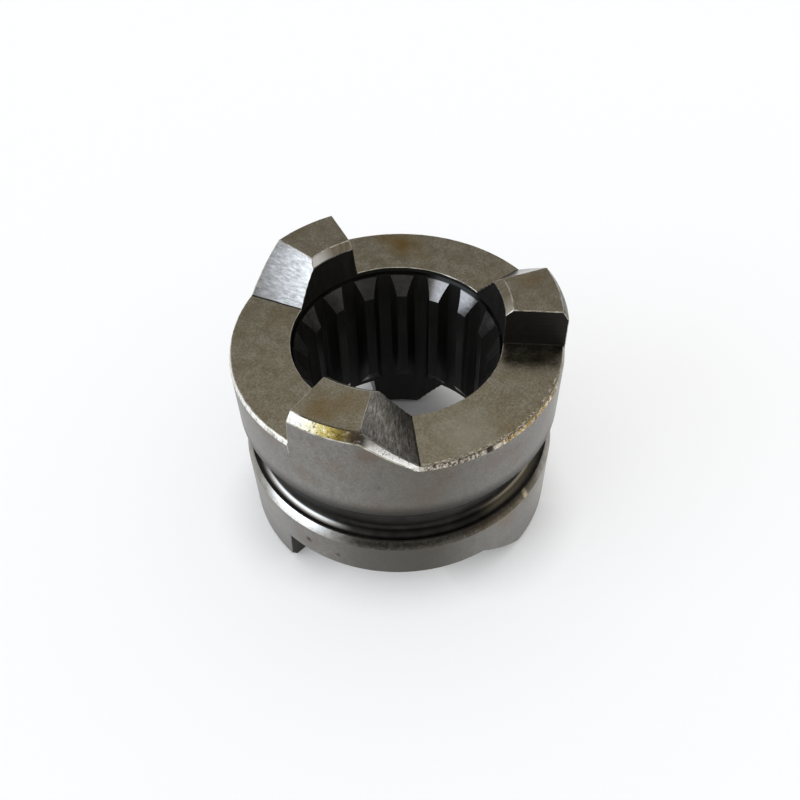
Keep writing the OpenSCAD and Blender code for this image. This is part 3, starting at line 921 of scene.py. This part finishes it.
# %% [markdown]
# ## True normals
# The mesh is made of small flats. Smooth shading guesses a normal at each corner from the faces around it,
# and long thin faces make bad guesses. The true surfaces are known, though: cylinders, cones and flats
# about the axis, and screw surfaces on the ramps. So their normals are worked out and set, and the narrow
# bevels blend between them.

# %% Set the normals of the true surfaces
SMOOTH_DEGREES = 40
# The bevels beside the groove are rounded off towards the wall, so their normals turn from one lean to
# another. The lower edge of the drum is the rounder one.
SOFT_LEAN = {FLANGE_BEVEL: 26, DRUM_BEVEL: 3}
STEEP_LEAN = 44
BEVEL_HEIGHT = GROOVE_LOW_Z - FLANGE_Z
# Faces whose normals lean round the axis by more than this aren't about the axis
ROUND_LIMIT = 0.1


def true_normal(face, point):
    """Normal of the surface that a face stands for, or None where the face isn't about the axis."""
    outward, around, upward = looks_towards(face)
    away = Vector((point.x, point.y, 0)).normalized()
    side = Vector((-away.y, away.x, 0))
    radius = Vector((point.x, point.y)).length / MM
    if face.material_index == RAMP:
        if upward > 0:
            return (side * UPPER_RAMP / radius + Vector((0, 0, 1))).normalized()
        return (side * -LOWER_RAMP / radius - Vector((0, 0, 1))).normalized()
    if face.material_index in (FLANGE_BEVEL, DRUM_BEVEL):
        from_wall = FLANGE_Z - point.z / MM if upward > 0 else point.z / MM - DRUM_Z
        soft = SOFT_LEAN[face.material_index]
        lean = math.radians(soft + (STEEP_LEAN - soft) * min(1.0, max(0.0, -from_wall / BEVEL_HEIGHT)))
        return away * math.cos(lean) + Vector((0, 0, math.copysign(math.sin(lean), upward)))
    if face.material_index in (SATIN, DRUM, INNER_BEVEL, CONE) and abs(around) < ROUND_LIMIT:
        return (away * outward + Vector((0, 0, upward))).normalized()
    if face.material_index == DRIVE:
        return face.normal.copy()
    return None


bpy.ops.object.shade_smooth_by_angle(angle=math.radians(SMOOTH_DEGREES))
mesh = sleeve.data
corner_normals = [Vector(corner.vector) for corner in mesh.corner_normals]
known = {}
for face in mesh.polygons:
    for corner in face.loop_indices:
        point = mesh.loops[corner].vertex_index
        normal = true_normal(face, mesh.vertices[point].co)
        if normal is not None:
            corner_normals[corner] = normal
            known.setdefault(point, []).append(normal)
blended = 0
for face in mesh.polygons:
    if face.material_index not in (EDGE, CORNER_SHADE):
        continue
    for corner in face.loop_indices:
        options = known.get(mesh.loops[corner].vertex_index, [])
        best = max(options, key=lambda option: option.dot(face.normal), default=None)
        if best is not None:
            corner_normals[corner] = best
            blended += 1
mesh.normals_split_custom_set(corner_normals)
print("set", sum(len(v) for v in known.values()), "true normals and blended", blended)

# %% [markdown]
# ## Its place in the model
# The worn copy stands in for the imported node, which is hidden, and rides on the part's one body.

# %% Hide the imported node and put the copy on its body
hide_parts("clutch_sleeve")
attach(sleeve, "root")
print(sleeve.name, "has", len(mesh.polygons), "faces")

# %% [markdown]
# ## Floor
# The sleeve stands on a white sheet, which the photo shows almost burnt out, with a short soft shadow round
# the sleeve's foot. Half of its white is a matt colour that takes the shadow, and half is a glow that the
# camera and the metal see. The glow is darkened by a painted shadow in the last millimetres beside the
# sleeve, and most of it is taken away inside the bore as painted shade, where hardly any light gets in. Seen
# from below the sheet is clear, so that the underside can be looked at.

# %% White sheet
SHEET_M = 3
SHEET_GAP_MM = 0.03
SHADOW_MM = 8
# Shares of the glow: what the camera sees, what the metal sees, and what is left inside the bore
CAMERA_GLOW = 0.52
METAL_GLOW = 0.86
BORE_GLOW = 0.09
# Radii in millimetres between which the glow grows from the bore to the outside
DIM_R = 14
LIGHT_R = 22

bpy.ops.mesh.primitive_plane_add(size=SHEET_M, location=(0, 0, -SHEET_GAP_MM * MM))
floor = bpy.context.active_object
floor.name = "floor"
sheet = bpy.data.materials.new("white_sheet")
sheet.use_nodes = True
tree = sheet.node_tree
tree.nodes.clear()
output = add(tree, "ShaderNodeOutputMaterial")
matt = add(tree, "ShaderNodeBsdfDiffuse", Color=linear("#adadad"))
path = add(tree, "ShaderNodeLightPath")
contact = add(tree, "ShaderNodeAmbientOcclusion", {"samples": 8}, Distance=SHADOW_MM * MM)
where = add(tree, "ShaderNodeTexCoord")
far = add(tree, "ShaderNodeVectorMath", {"operation": "LENGTH"}, Vector=where.outputs["Object"])
outside = add(tree, "ShaderNodeMapRange", SOFT, Value=far.outputs["Value"], From_Min=DIM_R * MM,
              From_Max=LIGHT_R * MM, To_Min=BORE_GLOW)
to_camera = add(tree, "ShaderNodeMath", TIMES, i0=path.outputs["Is Camera Ray"], i1=CAMERA_GLOW)
to_metal = add(tree, "ShaderNodeMath", TIMES, i0=path.outputs["Is Glossy Ray"], i1=METAL_GLOW)
lift = add(tree, "ShaderNodeMath", PLUS, i0=to_camera.outputs[0], i1=to_metal.outputs[0])
# Painted shadow: the glow is darkened round the sleeve's foot and inside the bore
lit = add(tree, "ShaderNodeMath", TIMES, i0=contact.outputs["AO"], i1=outside.outputs[0])
shaded = add(tree, "ShaderNodeMath", TIMES, i0=lift.outputs[0], i1=lit.outputs[0])
glow = add(tree, "ShaderNodeEmission", Strength=shaded.outputs[0])
both = add(tree, "ShaderNodeAddShader", i0=matt.outputs[0], i1=glow.outputs[0])
side = add(tree, "ShaderNodeNewGeometry")
clear = add(tree, "ShaderNodeBsdfTransparent")
sheet_side = add(tree, "ShaderNodeMixShader", Fac=side.outputs["Backfacing"], i1=both.outputs[0],
                 i2=clear.outputs[0])
tree.links.new(sheet_side.outputs[0], output.inputs["Surface"])
floor.data.materials.append(sheet)
print("sheet", SHEET_M, "m wide,", SHEET_GAP_MM, "mm below the lower dogs")

# %% [markdown]
# ## Room
# Dark steel shows the room in its reflections. There is a big soft window at the left and in front with a
# lamp above it, the room is brighter above than at eye level, and the side that the picture is taken from
# is dark. So is the right side, but for a bright strip low down. Matt surfaces get an even light instead,
# because the photo has hardly any shadow on one side. The camera sees plain white.

# %% Room light
world = bpy.data.worlds.new("room")
bpy.context.scene.world = world
world.use_nodes = True
tree = world.node_tree
tree.nodes.clear()
output = add(tree, "ShaderNodeOutputWorld")
where = add(tree, "ShaderNodeTexCoord")
axes = add(tree, "ShaderNodeSeparateXYZ", Vector=where.outputs["Generated"])
front = add(tree, "ShaderNodeMath", TIMES, i0=axes.outputs["Y"], i1=-1.0)
compass = add(tree, "ShaderNodeMath", {"operation": "ARCTAN2"}, i0=axes.outputs["X"], i1=front.outputs[0])
height = add(tree, "ShaderNodeMath", {"operation": "ARCSINE"}, i0=axes.outputs["Z"])


def patch(compass_degrees, height_degrees, soft_degrees):
    """1 in one part of the room. The compass is 0 in front of the sleeve and negative at the left."""
    soft = math.radians(soft_degrees)
    across = band(tree, compass.outputs[0], *(math.radians(a) for a in compass_degrees), soft)
    upward = band(tree, height.outputs[0], *(math.radians(a) for a in height_degrees), soft)
    return add(tree, "ShaderNodeMath", TIMES, i0=across, i1=upward).outputs[0]


EYE_LEVEL = 0.54
OVERHEAD = 1.02
EVEN_LIGHT = 1.02
# Heights in degrees between which the room gets brighter
DIM_BELOW = 36
BRIGHT_ABOVE = 52
# Parts of the room: compass, height and softness in degrees, and brightness. The window comes last.
ROOM_PARTS = [((-38, 44), (-20, 24), 5, 0.04), ((26, 58), (-14, 6), 5, 2.2), ((38, 115), (-20, 34), 10, 0.18),
              ((-100, -30), (58, 72), 5, 2.6), ((-95, -43), (-10, 46), 5, 3.7)]
base = add(tree, "ShaderNodeMapRange", SOFT, Value=height.outputs[0], From_Min=math.radians(DIM_BELOW),
           From_Max=math.radians(BRIGHT_ABOVE), To_Min=EYE_LEVEL, To_Max=OVERHEAD)
level = base.outputs[0]
for compass_degrees, height_degrees, soft_degrees, brightness in ROOM_PARTS:
    mask = patch(compass_degrees, height_degrees, soft_degrees)
    level = add(tree, "ShaderNodeMix", NUMBER_MIX, Factor=mask, i2=level, i3=brightness).outputs[0]
# The mask is still that of the window. Its daylight is a little blue, but not where the camera looks.
path = add(tree, "ShaderNodeLightPath")
unseen = add(tree, "ShaderNodeMath", MINUS, i0=1.0, i1=path.outputs["Is Camera Ray"])
blue = add(tree, "ShaderNodeMath", TIMES, i0=mask, i1=unseen.outputs[0])
daylight = add(tree, "ShaderNodeMix", COLOUR_MIX, Factor=blue.outputs[0], i6=linear("#ffffff"),
               i7=linear("#e6f0ff"))
level = add(tree, "ShaderNodeMix", NUMBER_MIX, Factor=path.outputs["Is Diffuse Ray"], i2=level, i3=EVEN_LIGHT)
level = add(tree, "ShaderNodeMix", NUMBER_MIX, Factor=path.outputs["Is Camera Ray"], i2=level.outputs[0],
            i3=1.0)
sky = add(tree, "ShaderNodeBackground", Color=daylight.outputs[2], Strength=level.outputs[0])
tree.links.new(sky.outputs[0], output.inputs["Surface"])
print("room with", len(ROOM_PARTS), "bright and dark parts")

# %% [markdown]
# ## Last steps
# The standard view shows a colour about as it is written.

bpy.context.scene.view_settings.view_transform = "Standard"
